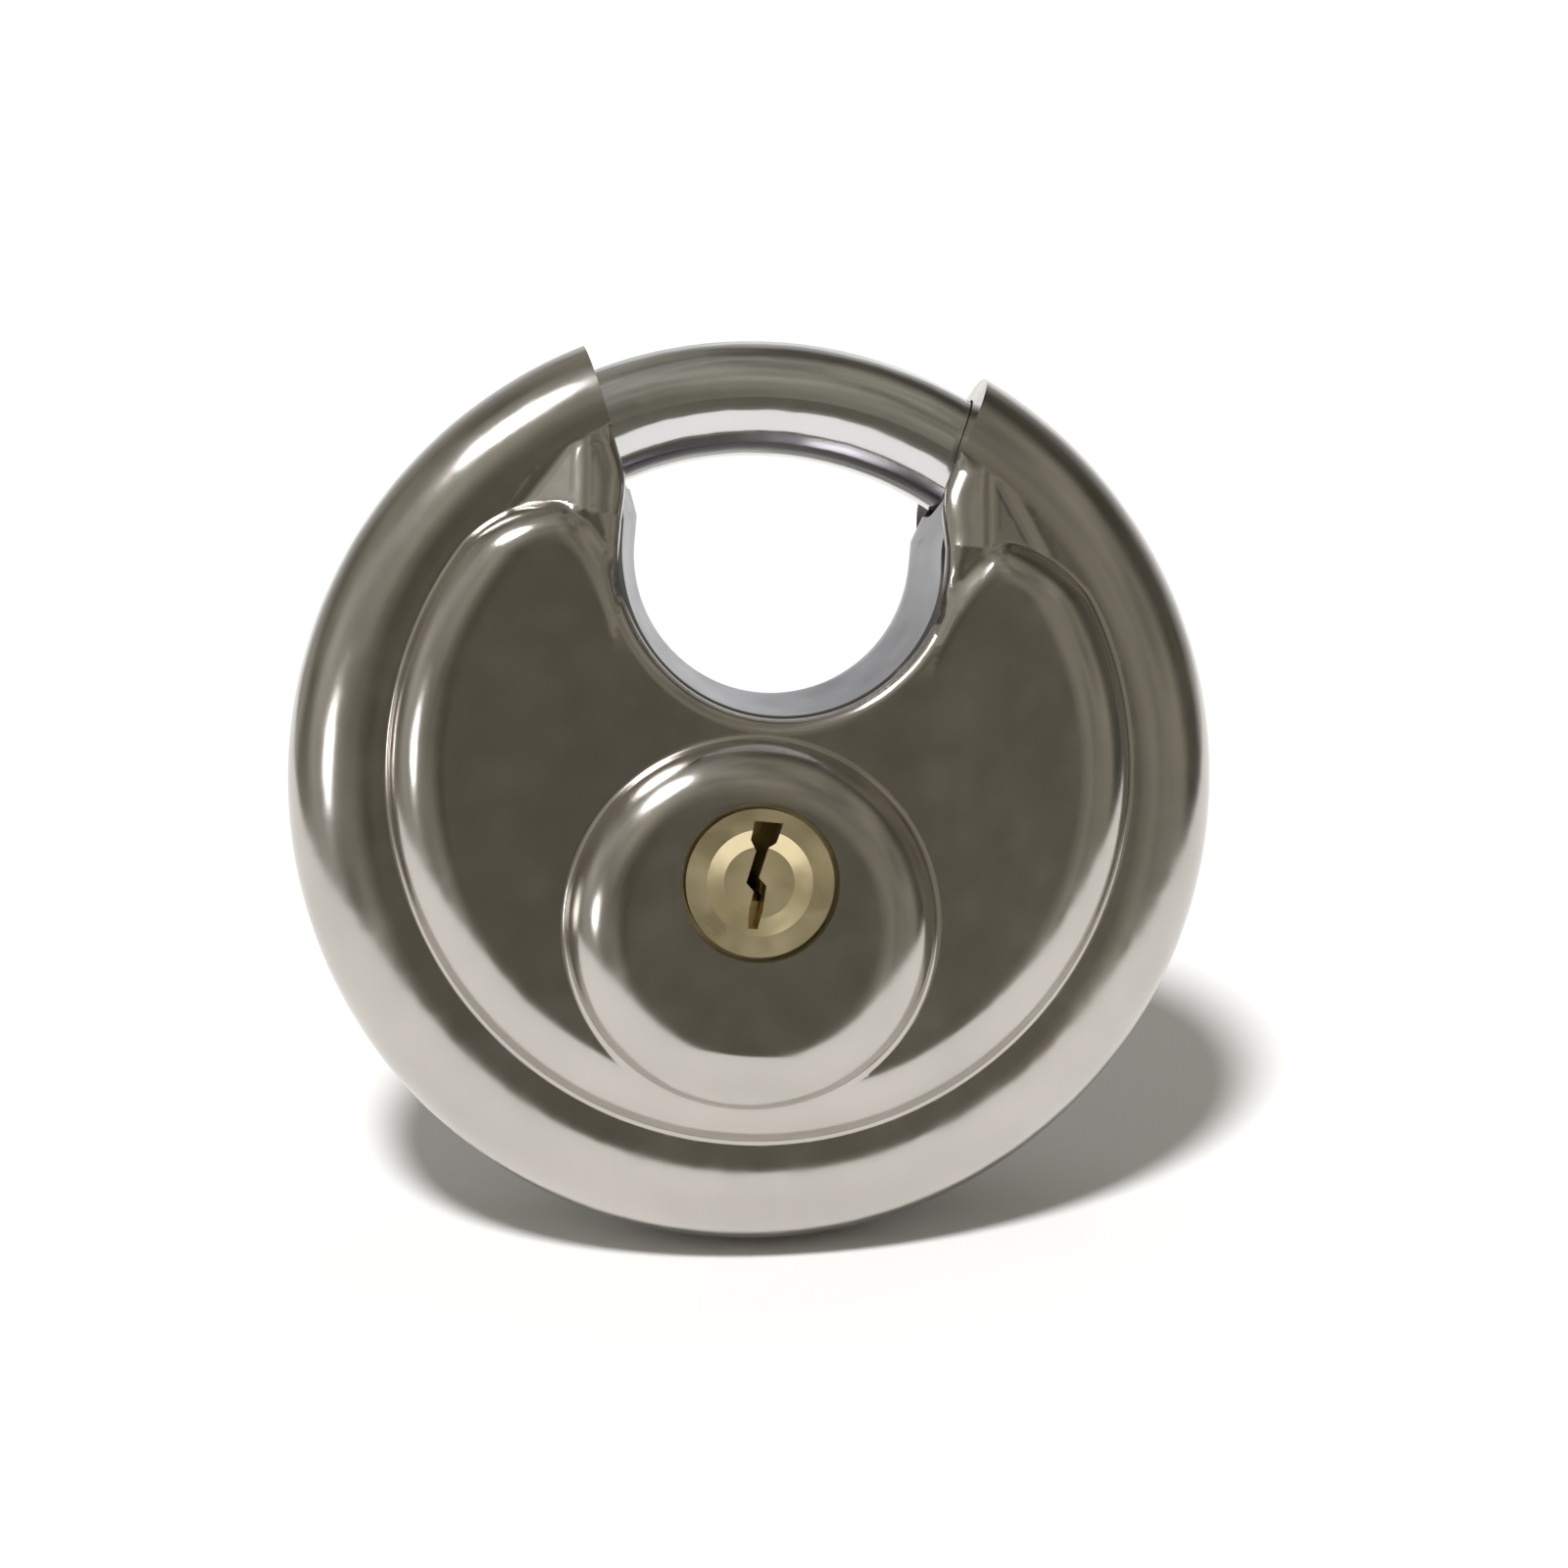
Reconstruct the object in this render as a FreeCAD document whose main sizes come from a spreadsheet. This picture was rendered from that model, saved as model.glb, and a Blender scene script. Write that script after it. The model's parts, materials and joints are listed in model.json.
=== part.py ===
"""Disc padlock: a stainless disc casing with a throat, closed by a swinging round shackle.

The casing stands on its rim. +Z is up through the throat, the keyway faces -Y and +X is to the right
of someone facing it. The origin is on the floor under the middle of the lock. Heights called "level" are
measured towards the face from the mid-plane, where the two casing halves meet. The mid-plane is a little
behind the origin, because only the front half has the boss.
"""

import FreeCAD, Part
import math
import os

import Sketcher

DIMENSIONS = [
    ("disc_radius", 35.0, "outer radius of the casing"),
    ("sheet", 1.4, "thickness of the stainless casing"),
    ("rim_roll", 6.4, "radius of the rolled rim's section"),
    ("rim_level", 7.2, "crest of the rim"),
    ("plateau_level", 10.5, "flat of the raised crescent"),
    ("plateau_radius", 27.2, "foot of the crescent's wall"),
    ("plateau_rise", 0.9, "centre of the crescent above the disc's centre"),
    ("plateau_top", 18.9, "wall of the crescent's tips above the disc's centre"),
    ("channel_span", 250.0, "span of the flat-topped channel, centred on the bottom, degrees"),
    ("tip_round", 4.6, "corner radius of the crescent's tips"),
    ("shoulder", 4.2, "rounding at the top of the crescent's wall"),
    ("boss_level", 14.5, "flat of the round boss"),
    ("boss_radius", 13.9, "outer radius of the boss"),
    ("boss_drop", 10.4, "centre of the boss below the disc's centre"),
    ("boss_shoulder", 4.7, "rounding of the boss"),
    ("keyhole_radius", 5.85, "hole in the casing round the plug"),
    ("plug_drop", 7.0, "plug's axis below the disc's centre"),
    ("throat_rise", 17.0, "centre of the throat above the disc's centre"),
    ("throat_radius", 10.5, "narrowest half-width of the throat, at the mid-plane"),
    ("throat_mouth", 12.1, "half-width of the liner at its two ends"),
    ("throat_edge", 12.3, "half-width of the cut-out in the casing"),
    ("liner_wall", 1.2, "thickness of the throat liner"),
    ("liner_land", 0.5, "half-length of the liner's narrow part"),
    ("liner_level", 9.0, "ends of the liner"),
    ("liner_top", 20.4, "top of the liner above the disc's centre"),
    ("ledge_half", 11.13, "half-width of the gap where it meets the liner"),
    ("gap_lean", 20.6, "lean of the horns' cut edges from the vertical, degrees"),
    ("bar_radius", 4.33, "radius of the shackle bar"),
    ("ring_radius", 28.7, "radius of the shackle's centre line"),
    ("toe_angle", -33.0, "free end of the shackle, degrees clockwise from the top"),
    ("heel_angle", 165.0, "hidden end of the shackle, degrees clockwise from the top"),
    ("bar_chamfer", 0.9, "chamfer on the shackle's ends"),
    ("flat_level", -3.6, "flat milled on the back of the shackle's hidden end"),
    ("flat_half", 9.5, "half-width of that flat"),
    ("core_radius", 24.05, "outer radius of the core, which guides the shackle"),
    ("core_level", 9.0, "outer faces of the core"),
    ("core_bevel", 1.9, "bevel on the core's outer edges"),
    ("core_split", -1.8, "face where the core halves meet"),
    ("core_top", 14.9, "top of the core's arms above the disc's centre"),
    ("core_throat", 13.5, "radius of the core round the liner"),
    ("pocket_level", -5.2, "floor of the pocket in the rear core"),
    ("pocket_top", -1.3, "top wall of that pocket, from the disc's centre"),
    ("rivet_radius", 1.5, "core rivet shank"),
    ("rivet_head", 2.55, "core rivet head, flush in the core"),
    ("rivet_sink", 1.2, "depth of that head"),
    ("rivet_x", 18.0, "core rivets beside the centre line"),
    ("rivet_high", 8.0, "upper core rivets above the disc's centre"),
    ("rivet_low", 0.0, "lower core rivets above the disc's centre"),
    ("swing_half", 29.7, "half of the drive plate's swing, degrees"),
    ("plate_thick", 1.3, "drive plate thickness"),
    ("plate_outer", 30.0, "outer radius of the drive plate"),
    ("plate_inner", 8.4, "inner end of the drive plate, from the disc's centre"),
    ("plate_foot", 3.4, "half-width of the plate's inner end"),
    ("plate_fan", 13.0, "half-angle of the plate's outer end, degrees"),
    ("plate_rivet", 1.0, "drive plate rivet radius"),
    ("plate_rivet_ring", 28.2, "drive plate rivets, from the disc's centre"),
    ("plate_rivet_fan", 7.0, "drive plate rivets beside its centre line, degrees"),
    ("crank_reach", 6.0, "crank pin from the plug's axis"),
    ("crank_half", 65.0, "half of the plug's turn, degrees"),
    ("crank_front", -2.1, "front face of the tail crank"),
    ("crank_back", -3.3, "back face of the tail crank"),
    ("hub_radius", 3.4, "hub of the tail crank"),
    ("arm_half", 2.1, "half-width of the crank's arm"),
    ("crank_pin_radius", 1.2, "crank pin"),
    ("crank_pin_end", -5.05, "back end of the crank pin"),
    ("slot_play", 0.1, "play on each side of the crank pin in its slot"),
    ("tongue_half", 1.5, "half-width of the tongue on the plug's tail"),
    ("tongue_long", 2.4, "half-length of that tongue"),
    ("tongue_end", -2.7, "end of that tongue"),
    ("screw_radius", 0.9, "crank screw shank"),
    ("screw_head", 1.4, "crank screw head, flush in the crank"),
    ("screw_tip", -1.1, "tip of the crank screw"),
    ("housing_radius", 7.2, "cylinder housing round the plug"),
    ("housing_front", 12.0, "front face of the cylinder housing"),
    ("lobe_half", 2.8, "half-width of the housing's pin lobe"),
    ("lobe_foot", -20.3, "bottom of that lobe, from the disc's centre"),
    ("cover_half", 1.7, "half-width of the chamber cover"),
    ("cover_thick", 0.8, "thickness of the chamber cover"),
    ("plug_radius", 5.2, "barrel of the plug"),
    ("plug_play", 0.05, "running clearance round the barrel and the pins"),
    ("collar_radius", 5.45, "collar behind the plug's face"),
    ("collar_back", 12.05, "back of that collar"),
    ("plug_face", 14.2, "face of the plug"),
    ("dish_radius", 3.9, "rim of the dish round the keyway"),
    ("dish_floor", 2.6, "floor of that dish"),
    ("dish_deep", 0.6, "depth of that dish"),
    ("keyway_end", 0.4, "inner end of the keyway"),
    ("pin_radius", 1.0, "key pins and drivers"),
    ("pin_first", 9.7, "level of the first pin"),
    ("pin_pitch", 2.4, "distance from pin to pin"),
    ("pin_inset", 0.13, "flat foot of a key pin inside the plug's round surface"),
    ("pin_point", 0.7, "height of a key pin's pointed tip"),
    ("pin_tip", 0.35, "radius left at that tip"),
    ("driver_long", 2.6, "length of a driver"),
    ("spring_radius", 0.75, "centre line of a pin spring"),
    ("spring_wire", 0.13, "radius of the spring wire"),
    ("spring_turns", 6.0, "turns of a pin spring"),
]

KEY_PIN_LENGTHS = [4.2, 3.4, 4.8, 3.0, 4.4]

# Keyway section from its upper right corner, as (side, up) from the plug's axis.
KEYWAY_OUTLINE = [
    (1.30, 4.50), (0.95, 3.00), (0.45, 2.60), (-0.05, 0.35), (0.55, -0.20), (0.45, -2.00), (0.15, -3.40),
    (-0.55, -3.40), (-0.55, -1.90), (-0.35, -0.70), (-0.95, -0.10), (-0.45, 2.30), (-0.95, 3.10), (-0.80, 4.50),
]

doc = FreeCAD.newDocument("disc_padlock")
parts = []


class Dim:
    """A number together with the spreadsheet expression that gives it."""

    def __init__(self, value, text):
        self.value = float(value)
        self.text = text

    def join(self, sign, other, value):
        return Dim(value, "(%s %s %s)" % (self.text, sign, other.text))

    def __add__(self, other):
        other = as_dim(other)
        return self.join("+", other, self.value + other.value)

    def __sub__(self, other):
        other = as_dim(other)
        return self.join("-", other, self.value - other.value)

    def __mul__(self, other):
        other = as_dim(other)
        return self.join("*", other, self.value * other.value)

    def __truediv__(self, other):
        other = as_dim(other)
        return self.join("/", other, self.value / other.value)

    def __neg__(self):
        return as_dim(0) - self


def as_dim(item):
    if isinstance(item, Dim):
        return item
    return Dim(item, "(%.4f)" % item)


def sine(angle):
    return Dim(math.sin(math.radians(angle.value)), "sin(%s * 1 deg)" % angle.text)


def cosine(angle):
    return Dim(math.cos(math.radians(angle.value)), "cos(%s * 1 deg)" % angle.text)


def tangent(angle):
    return sine(angle) / cosine(angle)


class Sheet:
    """The driving dimensions: each alias of the spreadsheet is an attribute holding its Dim."""

    def __init__(self):
        sheet = doc.addObject("Spreadsheet::Sheet", "dims")
        for row, (alias, value, note) in enumerate(DIMENSIONS, start=1):
            sheet.set("A%d" % row, alias)
            sheet.set("B%d" % row, "%g" % value)
            sheet.set("C%d" % row, note)
            sheet.setAlias("B%d" % row, alias)
            setattr(self, alias, Dim(value, "dims." + alias))
        doc.recompute()


d = Sheet()
ZERO = as_dim(0)
MID_PLANE = (d.boss_level - d.plateau_level) / 2


def place(obj, side=ZERO, level=ZERO, rise=ZERO, turn=None):
    """Put a piece at side, level and rise from the disc's centre, turned clockwise as seen from the face."""
    height = d.disc_radius + rise
    depth = MID_PLANE - level
    angle = turn.value if turn else 0.0
    rotation = FreeCAD.Rotation(FreeCAD.Vector(0, 1, 0), angle)
    obj.Placement = FreeCAD.Placement(FreeCAD.Vector(side.value, depth.value, height.value), rotation)
    obj.setExpression("Placement.Base.x", side.text)
    obj.setExpression("Placement.Base.y", depth.text)
    obj.setExpression("Placement.Base.z", height.text)
    if turn:
        obj.setExpression("Placement.Rotation.Angle", turn.text)
    return obj


def keep(obj, label):
    """Count an object as a sub-part under its own name."""
    obj.Label = label
    parts.append(obj)
    return obj


def new_body(name):
    return doc.addObject("PartDesign::Body", name)


def origin_plane(body, role):
    return [item for item in body.Origin.OriginFeatures if item.Role == role][0]


def arc_between(start, end, radius, turn):
    """Minor arc from start to end, anticlockwise when turn is 1 and clockwise when it is -1."""
    middle = (start + end) * 0.5
    chord = end - start
    side = FreeCAD.Vector(-chord.y, chord.x, 0).normalize() * turn
    centre = middle + side * math.sqrt(max(radius ** 2 - (chord.Length / 2) ** 2, 0))
    first, last = (start, end) if turn > 0 else (end, start)
    angles = [math.atan2(point.y - centre.y, point.x - centre.x) for point in (first, last)]
    circle = Part.Circle(centre, FreeCAD.Vector(0, 0, 1), radius)
    return Part.ArcOfCircle(circle, angles[0], angles[1])


def bind(sketch, kind, refs, size, name):
    index = sketch.addConstraint(Sketcher.Constraint(kind, *refs, size.value))
    sketch.renameConstraint(index, name)
    sketch.setExpression("Constraints." + name, size.text)


def outline_sketch(body, role, outline, name, level=ZERO):
    """Closed sketch whose corners are (across, up) or (across, up, arc radius, turn) to the next corner."""
    sketch = body.newObject("Sketcher::SketchObject", name)
    sketch.AttachmentSupport = [(origin_plane(body, role), "")]
    sketch.MapMode = "FlatFace"
    sketch.AttachmentOffset.Base.z = level.value
    sketch.setExpression("AttachmentOffset.Base.z", level.text)
    points = [FreeCAD.Vector(corner[0].value, corner[1].value, 0) for corner in outline]
    starts = []
    ends = []
    for index, corner in enumerate(outline):
        start = points[index]
        end = points[(index + 1) % len(points)]
        forward = len(corner) == 2 or corner[3] > 0
        if len(corner) == 2:
            edge = sketch.addGeometry(Part.LineSegment(start, end), False)
        else:
            edge = sketch.addGeometry(arc_between(start, end, corner[2].value, corner[3]), False)
            bind(sketch, "Radius", (edge,), corner[2], "radius_%d" % index)
        starts.append((edge, 1 if forward else 2))
        ends.append((edge, 2 if forward else 1))
    for index, corner in enumerate(outline):
        bind(sketch, "DistanceX", (-1, 1, *starts[index]), corner[0], "across_%d" % index)
        bind(sketch, "DistanceY", (-1, 1, *starts[index]), corner[1], "up_%d" % index)
        sketch.addConstraint(Sketcher.Constraint("Coincident", *ends[index - 1], *starts[index]))
    return sketch


def prism(name, outline, low, high, rise=ZERO, turn=None, role="XZ_Plane"):
    """Body padded from an outline between two levels."""
    body = new_body(name)
    sketch = outline_sketch(body, role, outline, name + "_outline", low)
    pad = body.newObject("PartDesign::Pad", name + "_pad")
    pad.Profile = sketch
    pad.Length = (high - low).value
    pad.setExpression("Length", (high - low).text)
    return place(body, rise=rise, turn=turn)


def turned(name, section, rise=ZERO, turn=None, angle=None):
    """Body turned about the disc's axis direction from a section given as (radius, -level) corners."""
    body = new_body(name)
    sketch = outline_sketch(body, "XY_Plane", section, name + "_section")
    revolution = body.newObject("PartDesign::Revolution", name + "_turn")
    revolution.Profile = sketch
    revolution.ReferenceAxis = (sketch, ["V_Axis"])
    revolution.Angle = 360
    if angle:
        revolution.Midplane = True
        revolution.Angle = angle.value
        revolution.setExpression("Angle", angle.text)
    return place(body, rise=rise, turn=turn)


def dress(body, kind, name, size, test):
    """Fillet or chamfer the edges of a body that pass a test."""
    doc.recompute()
    edges = ["Edge%d" % (i + 1) for i, edge in enumerate(body.Tip.Shape.Edges) if test(edge)]
    feature = body.newObject("PartDesign::" + kind, name)
    feature.Base = (body.Group[-2], edges)
    prop = "Radius" if kind == "Fillet" else "Size"
    setattr(feature, prop, size.value)
    feature.setExpression(prop, size.text)
    return body


def rod(name, radius, low, high, side=ZERO, rise=ZERO, tip_radius=None):
    """Cylinder, or cone when tip_radius is given, along the depth between two levels."""
    piece = doc.addObject("Part::Cone" if tip_radius else "Part::Cylinder", name)
    return size_round(piece, radius, high - low, tip_radius, side, low, rise, FreeCAD.Vector(1, 0, 0), 90)


def stud(name, radius, level, foot, top, tip_radius=None):
    """Upright cylinder or cone on the centre line, between two heights from the disc's centre."""
    piece = doc.addObject("Part::Cone" if tip_radius else "Part::Cylinder", name)
    return size_round(piece, radius, top - foot, tip_radius, ZERO, level, foot, FreeCAD.Vector(0, 0, 1), 0)


def size_round(piece, radius, length, tip_radius, side, level, rise, axis, angle):
    piece.setExpression("Height", length.text)
    if tip_radius:
        piece.setExpression("Radius1", radius.text)
        piece.setExpression("Radius2", tip_radius.text)
    else:
        piece.setExpression("Radius", radius.text)
    place(piece, side, level, rise)
    piece.Placement = FreeCAD.Placement(piece.Placement.Base, FreeCAD.Rotation(axis, angle))
    return piece


def block(name, half_width, foot, top, low, high):
    """Box on the centre line between two heights and two levels."""
    piece = doc.addObject("Part::Box", name)
    piece.setExpression("Length", (half_width * 2).text)
    piece.setExpression("Width", (high - low).text)
    piece.setExpression("Height", (top - foot).text)
    return place(piece, -half_width, high, foot)


def fuse(name, *pieces):
    joined = doc.addObject("Part::MultiFuse", name)
    joined.Shapes = list(pieces)
    joined.Refine = True
    return joined


def cut(name, base, *tools):
    result = doc.addObject("Part::Cut", name)
    result.Base = base
    result.Tool = tools[0] if len(tools) == 1 else fuse(name + "_tools", *tools)
    return result


# Casing: outer form less the same form set in by the sheet thickness.

def rim_form(name, inset):
    """Half of a hollow ring: the rolled rim."""
    ring = d.disc_radius - d.rim_roll
    roll = d.rim_roll - inset
    straight = d.rim_level - d.rim_roll
    section = [
        (ring - roll, ZERO),
        (ring + roll, ZERO),
        (ring + roll, -straight, roll, -1),
        (ring, -(straight + roll), roll, -1),
        (ring - roll, -straight),
    ]
    return turned(name, section)


def plateau_form(name, inset):
    """Raised disc with a flat top side, whose corners become the crescent's rounded tips."""
    radius = d.plateau_radius - inset
    corner = d.tip_round - inset
    top = d.plateau_top - d.plateau_rise - inset
    corner_rise = top - corner
    reach = math.sqrt((radius - corner).value ** 2 - corner_rise.value ** 2)
    corner_side = Dim(reach, "sqrt(pow(%s; 2) - pow(%s; 2))" % ((radius - corner).text, corner_rise.text))
    grow = radius / (radius - corner)
    touch_side = corner_side * grow
    touch_rise = corner_rise * grow
    outline = [
        (corner_side, top),
        (-corner_side, top, corner, 1),
        (-touch_side, touch_rise, radius, 1),
        (ZERO, -radius, radius, 1),
        (touch_side, touch_rise, corner, 1),
    ]
    level = d.plateau_level - inset
    body = prism(name, outline, ZERO, level, rise=d.plateau_rise)
    shoulder = d.shoulder - inset

    def on_top(edge):
        return abs(edge.BoundBox.YMin + level.value) < 1e-6 and edge.BoundBox.YLength < 1e-6

    return dress(body, "Fillet", name + "_shoulder", shoulder, on_top)


def boss_form(name, inset):
    """Round boss with a rounded shoulder."""
    radius = d.boss_radius - inset
    level = d.boss_level - inset
    shoulder = d.boss_shoulder - inset
    section = [
        (ZERO, ZERO),
        (radius, ZERO),
        (radius, shoulder - level, shoulder, -1),
        (radius - shoulder, -level),
        (ZERO, -level),
    ]
    return turned(name, section, rise=-d.boss_drop)


def channel_form(name):
    """Flat-topped channel under the casing's valley, where the drive plate passes below the throat."""
    roof = d.sheet - d.rim_level
    ring = d.disc_radius - d.rim_roll
    inner = ring - d.rim_roll + d.sheet
    section = [(inner, ZERO), (ring, ZERO), (ring, roof), (inner, roof)]
    return turned(name, section, turn=as_dim(90), angle=d.channel_span)


def casing_opening():
    """Throat and gap, cut right through both halves."""
    side = d.throat_edge
    beyond = d.disc_radius + d.sheet
    wide = d.ledge_half + (beyond - d.liner_top) * tangent(d.gap_lean)
    deep = d.boss_level + d.sheet
    outline = [
        (wide, beyond),
        (-wide, beyond),
        (-d.ledge_half, d.liner_top),
        (-side, d.liner_top),
        (-side, d.throat_rise, side, 1),
        (ZERO, d.throat_rise - side, side, 1),
        (side, d.throat_rise),
        (side, d.liner_top),
        (d.ledge_half, d.liner_top),
    ]
    return prism("casing_opening", outline, -deep, deep)


def make_shells(opening, liner):
    hollow = d.sheet
    front_form = [rim_form("front_rim", ZERO), plateau_form("front_plateau", ZERO)]
    front_form.append(boss_form("front_boss", ZERO))
    front_hollow = [
        rim_form("front_rim_hollow", hollow),
        plateau_form("front_plateau_hollow", hollow),
        boss_form("front_boss_hollow", hollow),
        channel_form("front_channel"),
        rod("keyhole", d.keyhole_radius, ZERO, d.boss_level + d.sheet, rise=-d.plug_drop),
    ]
    front = cut("front_casing", fuse("front_form", *front_form), opening, liner, *front_hollow)
    keep(front, "front_shell")
    rear_form = [rim_form("rear_rim", ZERO), plateau_form("rear_plateau", ZERO)]
    rear_hollow = [
        rim_form("rear_rim_hollow", hollow),
        plateau_form("rear_plateau_hollow", hollow),
        channel_form("rear_channel"),
    ]
    for body in rear_form + rear_hollow:
        turn_to_rear(body)
    rear = cut("rear_casing", fuse("rear_form", *rear_form), opening, liner, *rear_hollow)
    keep(rear, "rear_shell")


def turn_to_rear(body):
    """Face a piece the other way; the pieces turned so are the same on both sides of the centre line."""
    half_turn = FreeCAD.Rotation(FreeCAD.Vector(0, 0, 1), 180)
    rotation = half_turn.multiply(body.Placement.Rotation)
    body.setExpression("Placement.Rotation.Angle", None)
    body.Placement = FreeCAD.Placement(body.Placement.Base, rotation)


def make_liner():
    """Hardened strip bent to a U, narrowest at the mid-plane and flared towards both faces."""
    wall = d.liner_wall
    inner = [(d.throat_mouth, -d.liner_level), (d.throat_radius, -d.liner_land)]
    inner += [(d.throat_radius, d.liner_land), (d.throat_mouth, d.liner_level)]
    outer = [(across + wall, along) for across, along in reversed(inner)]
    bend = turned("liner_bend", inner + outer, d.throat_rise, as_dim(90), as_dim(180))
    right = leg("liner_leg_right", inner + outer)
    left = leg("liner_leg_left", [(-across, along) for across, along in reversed(inner + outer)])
    return keep(fuse("liner_joined", bend, right, left), "throat_liner")


def leg(name, section):
    """Straight end of the liner, standing on the bend."""
    return prism(name, section, ZERO, d.liner_top - d.throat_rise, rise=d.throat_rise, role="XY_Plane")


# Core: two die-cast halves, riveted together.

def core_form(name, low, high, bevel_high):
    """Disc between two levels, bevelled on its outer face."""
    bevel = d.core_bevel
    slim = d.core_radius - bevel
    if bevel_high:
        pieces = [rod(name + "_disc", d.core_radius, low, high - bevel)]
        pieces.append(rod(name + "_bevel", d.core_radius, high - bevel, high, tip_radius=slim))
    else:
        pieces = [rod(name + "_disc", d.core_radius, low + bevel, high)]
        pieces.append(rod(name + "_bevel", slim, low, low + bevel, tip_radius=d.core_radius))
    return fuse(name + "_form", *pieces)


def core_clearances(name):
    """Room for the liner, and the cut across the tops of the arms."""
    beyond = d.core_level + d.sheet
    throat = rod(name + "_throat", d.core_throat, -beyond, beyond, rise=d.throat_rise)
    above = block(name + "_above", d.core_radius + d.sheet, d.core_top, d.disc_radius, -beyond, beyond)
    return [throat, above]


def make_rivets():
    """Four countersunk rivets through both core halves."""
    pieces = []
    for side_name, side in (("left", -d.rivet_x), ("right", d.rivet_x)):
        for rise_name, rise in (("low", d.rivet_low), ("high", d.rivet_high)):
            name = "rivet_%s_%s" % (side_name, rise_name)
            face = d.core_level
            shank = rod(name + "_shank", d.rivet_radius, -face, face, side, rise)
            front = rod(name + "_front", d.rivet_radius, face - d.rivet_sink, face, side, rise, d.rivet_head)
            back = rod(name + "_back", d.rivet_head, -face, d.rivet_sink - face, side, rise, d.rivet_radius)
            pieces += [shank, front, back]
    return keep(fuse("rivets_joined", *pieces), "core_rivets")


def make_cores(housing_form, rivets):
    front = core_form("core_front", d.core_split, d.core_level, True)
    front_cut = cut("core_front_cut", front, housing_form, rivets, *core_clearances("core_front"))
    keep(front_cut, "core_front")
    rear = core_form("core_rear", -d.core_level, d.core_split, False)
    beyond = d.core_radius + d.sheet
    pocket = block("core_pocket", beyond, -d.disc_radius, d.pocket_top, d.pocket_level, d.core_split)
    rear_cut = cut("core_rear_cut", rear, pocket, rivets, *core_clearances("core_rear"))
    keep(rear_cut, "core_rear")


# Cylinder: housing, plug and five pin stacks below it.

def pin_levels():
    return [d.pin_first - d.pin_pitch * index for index in range(len(KEY_PIN_LENGTHS))]


def make_housing():
    """Brass housing; returns its outer form, which is also the pocket in the front core."""
    barrel = rod("housing_barrel", d.housing_radius, d.core_split, d.housing_front, rise=-d.plug_drop)
    lobe = block("housing_lobe", d.lobe_half, d.lobe_foot, -d.plug_drop, d.core_split, d.housing_front)
    form = fuse("housing_form", barrel, lobe)
    bore = rod("housing_bore", d.plug_radius + d.plug_play, d.core_split, d.housing_front, rise=-d.plug_drop)
    cover_top = d.lobe_foot + d.cover_thick
    cover = block("chamber_cover_strip", d.cover_half, d.lobe_foot, cover_top, d.core_split, d.housing_front)
    keep(cover, "chamber_cover")
    tools = [bore, cover]
    for index, level in enumerate(pin_levels(), start=1):
        name = "housing_chamber_%d" % index
        tools.append(stud(name, d.pin_radius + d.plug_play, level, cover_top, -d.plug_drop))
    keep(cut("housing_cut", form, *tools), "cylinder_housing")
    return form


def make_plug():
    """Brass plug with collar, dished face, zigzag keyway, pin holes and a tongue on its tail."""
    rise = -d.plug_drop
    barrel = rod("plug_barrel", d.plug_radius, d.crank_front, d.plug_face, rise=rise)
    collar = rod("plug_collar", d.collar_radius, d.collar_back, d.plug_face, rise=rise)
    tongue = plug_tongue("plug_tongue")
    dish_back = d.plug_face - d.dish_deep
    dish = rod("plug_dish", d.dish_floor, dish_back, d.plug_face, rise=rise, tip_radius=d.dish_radius)
    outline = [(as_dim(side), as_dim(up)) for side, up in KEYWAY_OUTLINE]
    keyway = prism("keyway", outline, d.keyway_end, d.plug_face, rise=rise)
    tools = [dish, keyway, crank_screw_form("plug_screw_hole")]
    foot = rise - d.plug_radius - d.plug_play
    for index, level in enumerate(pin_levels(), start=1):
        tools.append(stud("plug_hole_%d" % index, d.pin_radius + d.plug_play, level, foot, rise))
    keep(cut("plug_cut", fuse("plug_form", barrel, collar, tongue), *tools), "plug")


def plug_tongue(name):
    half = d.tongue_half
    reach = d.tongue_long
    outline = [(half, reach), (-half, reach), (-half, -reach), (half, -reach)]
    return prism(name, outline, d.tongue_end, d.crank_front, rise=-d.plug_drop, turn=-d.crank_half)


def make_pins():
    """Five stacks, each a key pin that meets its driver at the plug's surface, on a coil spring."""
    shear = -d.plug_drop - d.plug_radius
    key_foot = shear + d.pin_inset
    spring_foot = d.lobe_foot + d.cover_thick
    for index, (level, length) in enumerate(zip(pin_levels(), KEY_PIN_LENGTHS), start=1):
        name = "key_pin_%d" % index
        shank_top = key_foot + length - d.pin_point
        shank = stud(name + "_shank", d.pin_radius, level, key_foot, shank_top)
        point = stud(name + "_point", d.pin_radius, level, shank_top, shank_top + d.pin_point, d.pin_tip)
        keep(fuse(name + "_joined", shank, point), name)
        driver_top = shear - d.plug_play
        driver_foot = driver_top - d.driver_long
        keep(stud("driver_%d" % index, d.pin_radius, level, driver_foot, driver_top), "driver_pin_%d" % index)
        keep(pin_spring(index, level, spring_foot, driver_foot), "pin_spring_%d" % index)


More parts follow.
